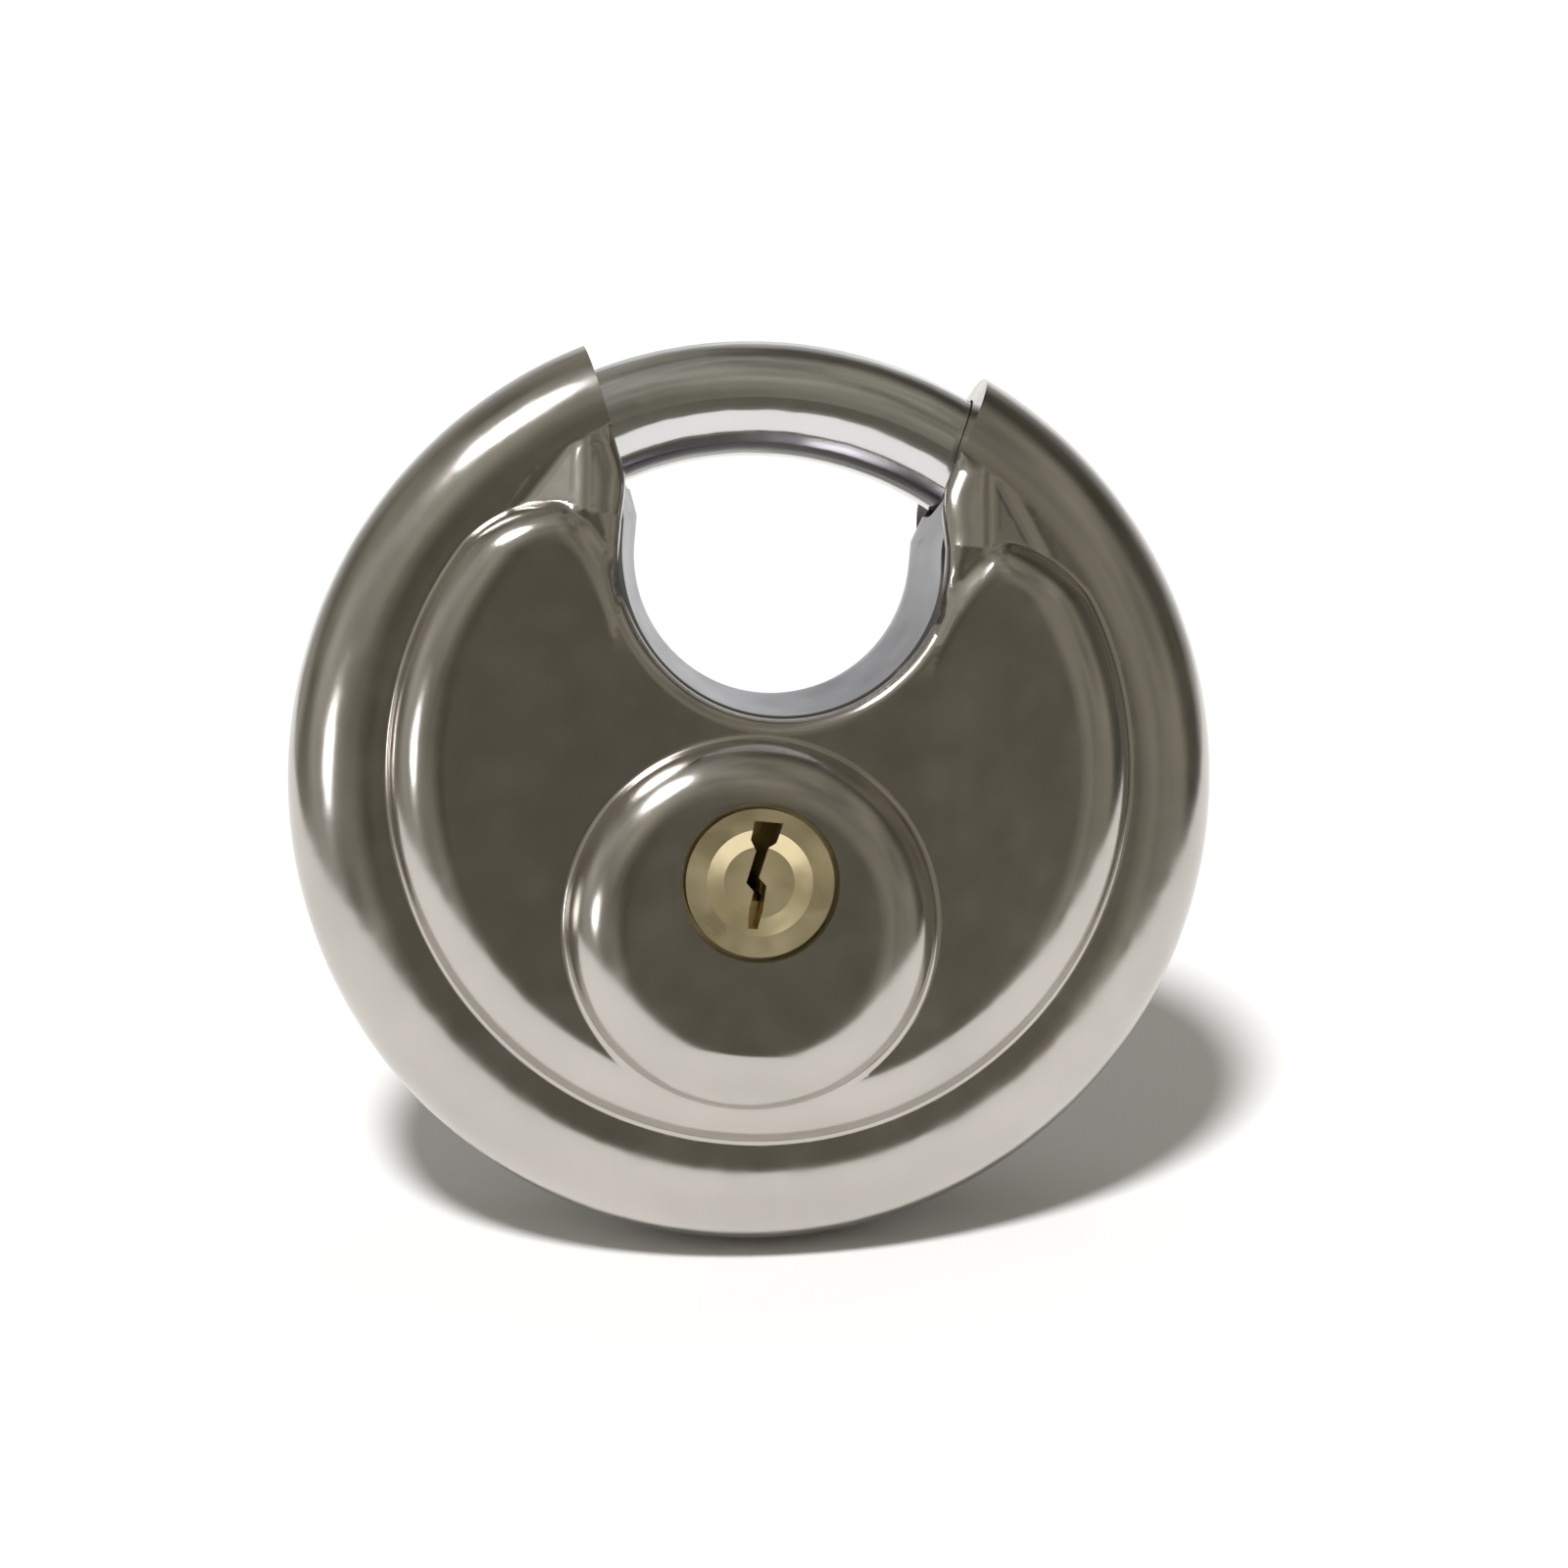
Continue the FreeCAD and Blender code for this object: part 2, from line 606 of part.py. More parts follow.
def pin_spring(index, level, foot, top):
    """Coil spring swept along a helix between two heights."""
    wire = d.spring_wire
    helix = doc.addObject("Part::Helix", "spring_helix_%d" % index)
    length = top - foot - wire * 2
    helix.setExpression("Height", length.text)
    helix.setExpression("Pitch", (length / d.spring_turns).text)
    helix.setExpression("Radius", d.spring_radius.text)
    ring = doc.addObject("Part::Circle", "spring_wire_%d" % index)
    ring.setExpression("Radius", wire.text)
    ring.Placement = FreeCAD.Placement(
        FreeCAD.Vector(d.spring_radius.value, 0, 0), FreeCAD.Rotation(FreeCAD.Vector(1, 0, 0), 90)
    )
    ring.setExpression("Placement.Base.x", d.spring_radius.text)
    coil = doc.addObject("Part::Sweep", "spring_coil_%d" % index)
    coil.Sections = [ring]
    coil.Spine = (helix, ["Edge1"])
    coil.Solid = True
    coil.Frenet = True
    return place(coil, level=level, rise=foot + wire)


# Tail crank and drive plate, which carry the plug's turn to the shackle.

def crank_screw_form(name):
    """Countersunk screw on the plug's axis."""
    rise = -d.plug_drop
    seat = d.crank_back + d.screw_head - d.screw_radius
    head = rod(name + "_head", d.screw_head, d.crank_back, seat, rise=rise, tip_radius=d.screw_radius)
    shank = rod(name + "_shank", d.screw_radius, d.crank_back, d.screw_tip, rise=rise)
    return fuse(name, head, shank)


def make_crank():
    rise = -d.plug_drop
    hub = rod("crank_hub", d.hub_radius, d.crank_back, d.crank_front, rise=rise)
    half = d.arm_half
    reach = -d.crank_reach
    outline = [(half, ZERO), (-half, ZERO), (-half, reach, half, 1)]
    outline += [(ZERO, reach - half, half, 1), (half, reach)]
    arm = prism("crank_arm", outline, d.crank_back, d.crank_front, rise=rise, turn=-d.crank_half)
    side = d.crank_reach * sine(d.crank_half)
    drop = rise - d.crank_reach * cosine(d.crank_half)
    pin = rod("crank_pin_rod", d.crank_pin_radius, d.crank_pin_end, d.crank_front, side, drop)
    keep(pin, "crank_pin")
    screw = keep(crank_screw_form("crank_screw_form"), "crank_screw")
    tongue = plug_tongue("crank_tongue_slot")
    keep(cut("crank_cut", fuse("crank_form", hub, arm), pin, screw, tongue), "tail_crank")


def make_drive_plate():
    """Fan-shaped plate with a radial slot for the crank pin; returns its rivets."""
    low = d.flat_level - d.plate_thick
    fan_side = d.plate_outer * sine(d.plate_fan)
    fan_rise = -d.plate_outer * cosine(d.plate_fan)
    outline = [
        (d.plate_foot, -d.plate_inner),
        (-d.plate_foot, -d.plate_inner),
        (-fan_side, fan_rise, d.plate_outer, 1),
        (fan_side, fan_rise),
    ]
    fan = prism("plate_fan", outline, low, d.flat_level, turn=-d.swing_half)
    half = d.crank_pin_radius + d.slot_play
    far = d.plug_drop + d.crank_reach
    across = d.crank_reach * sine(d.crank_half)
    along = d.plug_drop + d.crank_reach * cosine(d.crank_half)
    near_reach = math.hypot(across.value, along.value)
    near = Dim(near_reach, "sqrt(pow(%s; 2) + pow(%s; 2))" % (across.text, along.text))
    slot_outline = [
        (-half, -far, half, 1),
        (ZERO, -far - half, half, 1),
        (half, -far),
        (half, -near, half, 1),
        (ZERO, half - near, half, 1),
        (-half, -near),
    ]
    slot = prism("plate_slot", slot_outline, low, d.flat_level, turn=-d.swing_half)
    rivets = []
    for name, lean in (("near", -d.plate_rivet_fan), ("far", d.plate_rivet_fan)):
        angle = d.swing_half + lean
        side = d.plate_rivet_ring * sine(angle)
        rise = -d.plate_rivet_ring * cosine(angle)
        end = d.flat_level + d.bar_radius / 2
        rivets.append(rod("plate_rivet_" + name, d.plate_rivet, low, end, side, rise))
    joined = keep(fuse("plate_rivets_joined", *rivets), "drive_plate_rivets")
    keep(cut("plate_cut", fan, slot, joined), "drive_plate")
    return joined


def make_shackle(plate_rivets):
    """Round bar bent to an arc, chamfered at both ends, with a flat for the drive plate."""
    span = d.heel_angle - d.toe_angle
    middle = (d.heel_angle + d.toe_angle) / 2
    bar = d.bar_radius
    section = [
        (d.ring_radius + bar, ZERO, bar, 1),
        (d.ring_radius, bar, bar, 1),
        (d.ring_radius - bar, ZERO, bar, 1),
        (d.ring_radius, -bar, bar, 1),
    ]
    arc = turned("shackle_bar", section, turn=middle - 90, angle=span)

    def at_ends(edge):
        return edge.BoundBox.DiagonalLength < 4 * bar.value

    dress(arc, "Chamfer", "shackle_ends", d.bar_chamfer, at_ends)
    half = d.flat_half
    outline = [(half, -d.core_radius), (-half, -d.core_radius), (-half, -d.disc_radius), (half, -d.disc_radius)]
    flat = prism("shackle_flat", outline, -d.core_level, d.flat_level, turn=-d.swing_half)
    keep(cut("shackle_cut", arc, flat, plate_rivets), "shackle")


def check_and_write():
    """Stop on any failed object, then write one STEP file for each sub-part."""
    doc.recompute()
    failed = [obj.Name for obj in doc.Objects if "Invalid" in obj.State or "Error" in obj.State]
    for obj in parts:
        if obj.Shape.isNull() or not obj.Shape.isValid() or not obj.Shape.Solids:
            failed.append(obj.Label)
    if failed:
        raise RuntimeError("failed objects: " + ", ".join(failed))
    os.makedirs("parts", exist_ok=True)
    for obj in parts:
        obj.Shape.exportStep("parts/%s.step" % obj.Label)
        print("%-20s %2d solids %9.2f mm3" % (obj.Label, len(obj.Shape.Solids), obj.Shape.Volume))


make_shells(casing_opening(), make_liner())
make_cores(make_housing(), make_rivets())
make_plug()
make_pins()
make_crank()
make_shackle(make_drive_plate())
check_and_write()
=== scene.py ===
"""Looks of the disc padlock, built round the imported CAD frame.

The casing's two halves and the throat's liner are rebuilt as pressed sheet metal. Their shapes are worked
out in millimetres in the casing's plan: x to the right and z up from the disc's centre, and level out from
the mid-plane, which is the same for the front half and the rear half.
"""

import json
import math

import bpy
import numpy as np
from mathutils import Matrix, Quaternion, Vector, geometry


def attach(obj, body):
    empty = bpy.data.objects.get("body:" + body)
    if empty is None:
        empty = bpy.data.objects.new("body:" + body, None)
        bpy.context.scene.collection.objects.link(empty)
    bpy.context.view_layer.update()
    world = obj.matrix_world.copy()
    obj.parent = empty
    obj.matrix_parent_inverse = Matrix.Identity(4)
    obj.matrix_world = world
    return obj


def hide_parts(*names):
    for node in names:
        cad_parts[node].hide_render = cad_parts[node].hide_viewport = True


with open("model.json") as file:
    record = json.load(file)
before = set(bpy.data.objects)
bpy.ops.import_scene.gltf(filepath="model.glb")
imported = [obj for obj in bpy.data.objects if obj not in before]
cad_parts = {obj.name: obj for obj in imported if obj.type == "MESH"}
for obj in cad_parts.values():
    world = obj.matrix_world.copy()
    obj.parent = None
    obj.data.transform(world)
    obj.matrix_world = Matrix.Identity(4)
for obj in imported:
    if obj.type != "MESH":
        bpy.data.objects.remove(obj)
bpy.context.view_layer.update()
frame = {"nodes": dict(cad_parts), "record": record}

MM = 0.001

# The casing's driving sizes in millimetres, as in the CAD design.
SHEET = 1.4
DISC_RADIUS = 35.0
RIM_ROLL = 6.4
RIM_LEVEL = 7.2
PLATEAU_LEVEL = 10.5
PLATEAU_RADIUS = 27.2
PLATEAU_RISE = 0.9
BOSS_LEVEL = 14.5
BOSS_RADIUS = 13.9
BOSS_DROP = 10.4
KEYHOLE_RADIUS = 5.85
PLUG_DROP = 7.0
THROAT_RISE = 17.0
RING = DISC_RADIUS - RIM_ROLL
STRAIGHT = RIM_LEVEL - RIM_ROLL
MID_PLANE = (BOSS_LEVEL - PLATEAU_LEVEL) / 2
CENTRE = Vector((0, MID_PLANE, DISC_RADIUS)) * MM

# Pressed steps: the radii of the shoulder and the hollow foot, and how far the foot reaches past the outline.
PLATEAU_SHOULDER = 4.4
PLATEAU_HOLLOW = 0.5
PLATEAU_REACH = 0.9
BOSS_SHOULDER = 4.7
BOSS_HOLLOW = 0.6
BOSS_REACH = 0.3
BOSS_FADE = 0.45
BOSS_FADE_DROPS = (19.5, 25.0)
VALLEY_DROP = 0.05
VALLEY_EASE = 0.6

# The plateau's two tips beside the throat: a rounded corner, and a top that falls towards the throat.
TIP_TOP = 20.0
TIP_ROUND = 4.6
TIP_SIDE = 17.0
TIP_FALL = 0.16
TIP_RUN = 5.2
TIP_START = 15.0

# The neck between each tip and its horn: a falling ramp with a facet down to the rim's valley.
NECK_FOOT = 18.9
NECK_HEEL = 14.0
NECK_SIDE = 15.2
NECK_DROP = 0.9
RAMP_SLOPE = 0.37
HEEL_SLOPE = 2.0
FACET_SLOPE = 0.56
FACET_BLEND = 0.5
NECK_BLEND = 0.6

# The cut-out: a round throat whose sides ease into the leaning cuts of the two horns.
THROAT_EDGE = 12.1
GAP_FOOT = 19.0
GAP_HALF = 10.6
GAP_LEAN = math.radians(20.6)
EASE_FOOT = 18.3
EASE_TOP = 23.0
LEAN_FOOT = 20.0
EDGE_ROUND = 1.3
NECK_ROUND = 1.1
HORN_SHARP = 0.95
NECK_RISES = (17.0, 20.0)
HORN_RISES = (24.0, 26.5)

# The horns: turned a little round the disc's centre, and turned in round the bar's channel.
HORN_TURN = math.radians(0.8)
HORN_TURN_RISES = (17, 24)
HORN_TURN_REACH = 9
HORN_BLEND = math.radians(25)
CHANNEL_RADIUS = 4.6
LIP_RISES = (22, 25)
LIP_REACH = 2.0

# The throat's liner.
LINER_LAND = 10.5
LINER_LAND_HALF = 0.5
LINER_MOUTH = 11.9
LINER_WALL = 1.2
LINER_LEVEL = 9.0
LINER_TOP = 20.9
LINER_NARROWING = 0.26
LINER_NARROWING_RISE = 13.5
LINER_SADDLE = 1.9
LINER_SADDLE_LEVELS = (2.0, 4.6)
LINER_TIP_DROP = 0.7
LEG_POINTS = 9
BEND_POINTS = 90
FLARE_POINTS = 14

# Mesh: the spacing of the even grid, and rows at distances in from the cut-out's edge and the steps' feet.
SPACING = 0.32
RIM_STEPS = 26
ROW_HEIGHT = 0.866
EDGE_ROWS = (0.03, 0.1, 0.22, 0.4, 0.65, 0.95, 1.35, 1.8)
FOOT_ROWS = (
    0, 0.07, 0.14, 0.21, 0.28, 0.35, 0.41, 0.46, 0.51, 0.57, 0.66, 0.78, 0.95, 1.2, 1.5, 1.85, 2.2,
)
FOOT_STRETCH = 1.3
BOSS_STRETCH = 1.2
EDGE_CLEAR = 1.95
FOOT_CLEAR = (-0.1, 2.35)
FINE_RISES = (14, 25.5)
FINE_RADIUS = 27.5


# ------------------------------------------ the casing's surface as a level over its plan

def smooth_step(low, high, value):
    """Eased step from 0 at low to 1 at high."""
    t = np.clip((value - low) / (high - low), 0, 1)
    return t * t * (3 - 2 * t)


def smooth_max(a, b, blend):
    """Larger of two levels with a fillet where they cross."""
    h = np.clip(0.5 + 0.5 * (a - b) / blend, 0, 1)
    return b + (a - b) * h + blend * h * (1 - h) / 2


def smooth_min(a, b, blend):
    """Smaller of two levels with a fillet where they cross."""
    return -smooth_max(-a, -b, blend)


def drawn_wall(inward, height, shoulder, hollow):
    """Height of a pressed step at a distance in from its foot: a hollow foot, then a round shoulder."""
    tilt = math.acos(1 - height / (shoulder + hollow))
    width = (shoulder + hollow) * math.sin(tilt)
    knee = hollow * math.sin(tilt)
    t = np.clip(inward, 0, width)
    low = hollow - np.sqrt(hollow ** 2 - np.clip(t, 0, knee) ** 2)
    high = height - shoulder + np.sqrt(np.clip(shoulder ** 2 - (width - t) ** 2, 0, None))
    return np.where(t < knee, low, high)


def rounded_drop(inside, wide, deep):
    """Drop below a flat top near its edge, for an edge rounded over a width and a depth."""
    reach = np.clip(1 - np.clip(inside, 0, None) / wide, 0, 1)
    return deep * (1 - np.sqrt(1 - reach ** 2))


def gap_half(z):
    """Half-width between the horns' leaning cuts."""
    return GAP_HALF + (z - GAP_FOOT) * math.tan(GAP_LEAN)


def opening_half(z):
    """Half-width of the cut-out above the throat's centre: a cubic curve from the throat to the cut."""
    t = np.clip((z - EASE_FOOT) / (EASE_TOP - EASE_FOOT), 0, 1)
    bend = (2 * t ** 3 - 3 * t ** 2 + 1) * THROAT_EDGE + (3 * t ** 2 - 2 * t ** 3) * gap_half(EASE_TOP)
    bend = bend + (t ** 3 - t ** 2) * (EASE_TOP - EASE_FOOT) * math.tan(GAP_LEAN)
    return np.where(z > EASE_TOP, gap_half(z), bend)


def edge_cosine(z):
    """Cosine of the cut-out's lean at a height."""
    return np.cos(GAP_LEAN * smooth_step(LEAN_FOOT, EASE_TOP, z))


def opening_distance(x, z):
    """Distance from the cut-out for the throat and the gap; negative inside it."""
    below = np.hypot(x, z - THROAT_RISE) - THROAT_EDGE
    above = (np.abs(x) - opening_half(z)) * edge_cosine(z)
    return np.where(z < THROAT_RISE, below, above)


def plateau_inside(x, z):
    """Distance inside the outline of the crescent plateau."""
    radial = PLATEAU_RADIUS - np.hypot(x, z - PLATEAU_RISE)
    run = np.clip(TIP_SIDE - np.abs(x), 0, TIP_RUN)
    top = (TIP_TOP - TIP_FALL * run ** 2 - z) / np.sqrt(1 + (2 * TIP_FALL * run) ** 2)
    past = np.hypot(np.clip(TIP_ROUND - radial, 0, None), np.clip(TIP_ROUND - top, 0, None))
    in_corner = (radial < TIP_ROUND) & (top < TIP_ROUND)
    return np.where(in_corner, TIP_ROUND - past, np.minimum(radial, top))


def boss_inward(x, z):
    """Distance in from the foot of the boss."""
    return BOSS_RADIUS + BOSS_REACH - np.hypot(x, z + BOSS_DROP)


def neck_level(x, z):
    """Ramp from each tip of the plateau up to the horn, with a facet down to the rim's valley."""
    ramp = PLATEAU_LEVEL - NECK_DROP - RAMP_SLOPE * np.clip(z - NECK_FOOT, 0, None)
    ramp = ramp - HEEL_SLOPE * np.clip(NECK_HEEL - z, 0, None)
    facet = ramp - FACET_SLOPE * (np.abs(x) - NECK_SIDE)
    return smooth_min(ramp, facet, FACET_BLEND)


def edge_drop(x, z):
    """Drop of the rounded edge round the cut-out: softest on the necks, sharpest on the horns."""
    neck = smooth_step(*NECK_RISES, z) * (1 - smooth_step(*HORN_RISES, z))
    horn = smooth_step(*HORN_RISES, z)
    wide = EDGE_ROUND + NECK_ROUND * neck - HORN_SHARP * horn
    return rounded_drop(opening_distance(x, z), wide, EDGE_ROUND - HORN_SHARP * horn)


def casing_level(x, z, boss, rounded=True):
    """Level of the casing's outer surface."""
    outside = np.clip(np.hypot(x, z) - RING, 0, RIM_ROLL)
    rim = STRAIGHT + np.sqrt(np.clip(RIM_ROLL ** 2 - outside ** 2, 0, None))
    inward = plateau_inside(x, z) + PLATEAU_REACH
    floor = RIM_LEVEL - VALLEY_DROP
    level = rim + (floor - rim) * smooth_step(0, VALLEY_EASE, inward)
    level = level + drawn_wall(inward, PLATEAU_LEVEL - floor, PLATEAU_SHOULDER, PLATEAU_HOLLOW)
    level = smooth_max(level, neck_level(x, z), NECK_BLEND)
    if boss:
        fade = 1 - BOSS_FADE * smooth_step(*BOSS_FADE_DROPS, -z)
        rise = drawn_wall(boss_inward(x, z), BOSS_LEVEL - PLATEAU_LEVEL, BOSS_SHOULDER, BOSS_HOLLOW)
        level = level + rise * fade
    if rounded:
        level = level - edge_drop(x, z)
    return level


def casing_normals(x, z, boss, rounded=True):
    """Unit normals of the outer surface as x, z and level."""
    step = 0.01
    slopes = []
    for dx, dz in ((step, 0), (0, step)):
        ahead = casing_level(x + dx, z + dz, boss, rounded)
        behind = casing_level(x - dx, z - dz, boss, rounded)
        slopes.append((ahead - behind) / (2 * step))
    normal = np.stack([-slopes[0], -slopes[1], np.ones_like(x)], axis=1)
    return normal / np.linalg.norm(normal, axis=1)[:, None]


# ------------------------------------------ meshing the plan

def cut_height(radius):
    """Height at which the gap's leaning edge crosses a circle round the disc's centre."""
    low, high = EASE_TOP, radius
    for _ in range(50):
        middle = (low + high) / 2
        if math.hypot(gap_half(middle), middle) < radius:
            low = middle
        else:
            high = middle
    return (low + high) / 2


def cut_angle(radius):
    """Clockwise angle from the top at which the right horn's cut edge crosses a circle."""
    z = cut_height(radius)
    return math.atan2(gap_half(z), z)


def arc_points(rise, radius, start, end, step):
    """Points along an arc centred on the middle line, angles clockwise from the top, except the last."""
    angles = np.linspace(start, end, max(8, int(abs(end - start) / step) + 1))[:-1]
    return np.stack([radius * np.sin(angles), rise + radius * np.cos(angles)], axis=1)


def throat_points(offset):
    """Points from left to right under the throat at a distance outside its edge."""
    turn = SPACING / THROAT_EDGE
    return arc_points(THROAT_RISE, THROAT_EDGE + offset, 1.5 * math.pi, 0.5 * math.pi, turn)


def edge_points(offset):
    """Points up the right side of the cut-out at a distance outside it, from the throat to the crest."""
    heights = np.arange(THROAT_RISE, cut_height(RING), SPACING)
    return np.stack([opening_half(heights) + offset / edge_cosine(heights), heights], axis=1)


def mirrored(points):
    """Points of the plan's other side."""
    return points * np.array([-1, 1])


def plan_outline():
    """Outline of the casing's plan inside the rim's crest, clockwise from the right horn."""
    crest = cut_angle(RING)
    rim = arc_points(0, RING, crest, 2 * math.pi - crest, SPACING / RING)
    left_tip = np.array([[-RING * math.sin(crest), RING * math.cos(crest)]])
    side = edge_points(0)
    points = np.concatenate([rim, left_tip, mirrored(side)[::-1], throat_points(0)[1:], side])
    return points, len(rim) + 1


def moved_to(points, inside):
    """Points moved straight across the plateau's outline to a distance inside it."""
    step = 0.005
    for _ in range(3):
        x, z = points.T
        slope = np.stack([
            plateau_inside(x + step, z) - plateau_inside(x - step, z),
            plateau_inside(x, z + step) - plateau_inside(x, z - step),
        ], axis=1) / (2 * step)
        away = (inside - plateau_inside(x, z)) / (slope ** 2).sum(axis=1)
        points = points + slope * away[:, None]
    return points


def foot_line():
    """Foot of the plateau: round the disc below its tips, then along each tip to the throat."""
    spacing = SPACING * FOOT_STRETCH
    radius = PLATEAU_RADIUS + PLATEAU_REACH
    top = math.acos((TIP_START - PLATEAU_RISE) / radius)
    round_disc = arc_points(PLATEAU_RISE, radius, top, 2 * math.pi - top, spacing / radius)
    tip = [round_disc[1], round_disc[0]]
    while opening_distance(*tip[-1]) > 0:
        ahead = (tip[-1] - tip[-2]) / np.linalg.norm(tip[-1] - tip[-2])
        tip.append(moved_to((tip[-1] + ahead * spacing)[None], -PLATEAU_REACH)[0])
    tip = np.array(tip[2:])
    return np.concatenate([tip[::-1], round_disc, mirrored(round_disc[:1]), mirrored(tip)])


def feature_rows(boss):
    """Rows of points along the rounded edges and the feet of the pressed steps."""
    rows = []
    for offset in EDGE_ROWS:
        side = edge_points(offset)
        rows += [side, mirrored(side), throat_points(offset)]
    foot = foot_line()
    for offset in FOOT_ROWS:
        foot = moved_to(foot, offset - PLATEAU_REACH)
        rows.append(foot)
        if boss:
            radius = BOSS_RADIUS + BOSS_REACH - offset
            rows.append(arc_points(-BOSS_DROP, radius, 0, 2 * math.pi, SPACING * BOSS_STRETCH / BOSS_RADIUS))
    return np.concatenate(rows)


def even_grid(step):
    """Triangular lattice of points over the disc."""
    rows = []
    for index, z in enumerate(np.arange(-RING, RING, step * ROW_HEIGHT)):
        x = np.arange(-RING + (index % 2) * step / 2, RING, step)
        rows.append(np.stack([x, np.full_like(x, z)], axis=1))
    return np.concatenate(rows)


def clear_of_foot(inward):
    """Whether a distance in from a step's foot is outside the band that its rows fill."""
    return (inward < FOOT_CLEAR[0]) | (inward > FOOT_CLEAR[1])


def plan_points(boss):
    """Points inside the plan: an even grid away from the feature rows, finer on the necks, and the rows."""
    kept = []
    for grid, fine in ((even_grid(SPACING), False), (even_grid(SPACING / 2), True)):
        x, z = grid.T
        inward = plateau_inside(x, z) + PLATEAU_REACH
        neck = (z > FINE_RISES[0]) & (z < FINE_RISES[1]) & (inward < 0) & (np.hypot(x, z) < FINE_RADIUS)
        keep = (opening_distance(x, z) > EDGE_CLEAR) & clear_of_foot(inward) & (neck == fine)
        if boss:
            keep &= clear_of_foot(boss_inward(x, z))
        kept.append(grid[keep])
    points = np.concatenate([*kept, feature_rows(boss)])
    x, z = points.T
    keep = (np.hypot(x, z) < RING - SPACING / 2) & (opening_distance(x, z) > EDGE_ROWS[0] / 2)
    if boss:
        keep &= np.hypot(x, z + PLUG_DROP) > KEYHOLE_RADIUS + SPACING / 2
    return points[keep]


def triangulate(boss):
    """Triangles of the casing's plan inside the rim's crest, with the crest's points first."""
    outline, crest_count = plan_outline()
    count = len(outline)
    edges = [(i, (i + 1) % count) for i in range(count)]
    groups = [outline]
    if boss:
        hole = arc_points(-PLUG_DROP, KEYHOLE_RADIUS, 0, 2 * math.pi, SPACING / KEYHOLE_RADIUS)
        edges += [(count + i, count + (i + 1) % len(hole)) for i in range(len(hole))]
        groups.append(hole)
    groups.append(plan_points(boss))
    vectors = [Vector(p) for p in np.concatenate(groups)]
    found, _, faces, _, _, _ = geometry.delaunay_2d_cdt(vectors, edges, [], 0, 1e-6, False)
    found = np.array([tuple(p) for p in found])
    faces = np.array(faces)
    x, z = found[faces].mean(axis=1).T
    keep = (opening_distance(x, z) > 0) & (np.hypot(x, z) < RING)
    if boss:
        keep &= np.hypot(x, z + PLUG_DROP) > KEYHOLE_RADIUS
    return found, faces[keep], crest_count


def rim_rows(crest_points):
    """Rows of points from the crest round the rolled rim to the seam, as plan, level and normal."""
    rows = []
    top = cut_angle(RING)
    angles = np.arctan2(crest_points[:, 0], crest_points[:, 1]) % (2 * math.pi)
    from_end = np.minimum(angles - top, 2 * math.pi - top - angles)
    weight = 1 - smooth_step(0, HORN_BLEND, from_end)
    sign = np.where(angles < math.pi, 1, -1)
    for index in range(1, RIM_STEPS + 1):
        lean = math.pi / 2 * index / RIM_STEPS
        radius = RING + RIM_ROLL * math.sin(lean)
        turned = angles + sign * weight * (cut_angle(radius) - top)
        out = np.stack([np.sin(turned), np.cos(turned)], axis=1)
        normal = np.concatenate([out * math.sin(lean), np.full((len(out), 1), math.cos(lean))], axis=1)
        rows.append((out * radius, np.full(len(out), STRAIGHT + RIM_ROLL * math.cos(lean)), normal))
    plan, _, normal = rows[-1]
    rows.append((plan, np.zeros(len(plan)), normal))
    return rows


# ------------------------------------------ the casing and the liner as meshes

def horn_lip(points):
    """Extra thickness where the sheet is turned in round the bar at the horns' cut edges."""
    x, z, level = points.T
    to_channel = np.hypot(np.hypot(x, z) - RING, level) - CHANNEL_RADIUS - SHEET
    near = (1 - smooth_step(0, LIP_REACH, opening_distance(x, z))) * smooth_step(*LIP_RISES, z)
    return near * np.clip(to_channel, 0, None)


def turned_horns(points):
    """Points with both horns' cuts turned a little to the left round the disc's centre."""
    x, z, level = points.T
    side = np.clip(np.abs(x) - gap_half(z), 0, None)
    angle = HORN_TURN * smooth_step(*HORN_TURN_RISES, z) * (1 - smooth_step(0, HORN_TURN_REACH, side))
    cosine, sine = np.cos(angle), np.sin(angle)
    return np.stack([x * cosine - z * sine, x * sine + z * cosine, level], axis=1)


def lock_points(points, facing):
    """Positions in the frame, in metres, of points given as x, z and level."""
    x, z, level = points.T
    return np.stack([x, MID_PLANE + facing * level, z + DISC_RADIUS], axis=1) * MM


def lock_normals(normals, facing):
    """Directions in the frame of normals given as x, z and level."""
    return np.stack([normals[:, 0], facing * normals[:, 2], normals[:, 1]], axis=1)


def facing_out(points, polygons, normals):
    """Polygons wound so that they face outwards once the level axis points towards -Y."""
    wound = []
    for polygon in polygons:
        a, b, c = (points[i] for i in polygon[:3])
        across = np.cross(b - a, c - a)
        wound.append(polygon if across @ normals[polygon[0]] > 0 else polygon[::-1])
    return wound


def boundary_edges(polygons):
    """Edges that belong to one polygon only, in that polygon's direction."""
    edges = set()
    for polygon in polygons:
        for a, b in zip(polygon, polygon[1:] + polygon[:1]):
            if (b, a) in edges:
                edges.remove((b, a))
            else:
                edges.add((a, b))
    return sorted(edges)


def thick_sheet(polygons, count):
    """Both sides of a sheet, the second side's points being the next ones, and the walls at its edges."""
    other_side = [tuple(i + count for i in reversed(p)) for p in polygons]
    walls = [(b, a, a + count, b + count) for a, b in boundary_edges(polygons)]
    return polygons + other_side, walls


def other_way(polygons):
    """Polygons wound the other way round."""
    return [tuple(reversed(p)) for p in polygons]


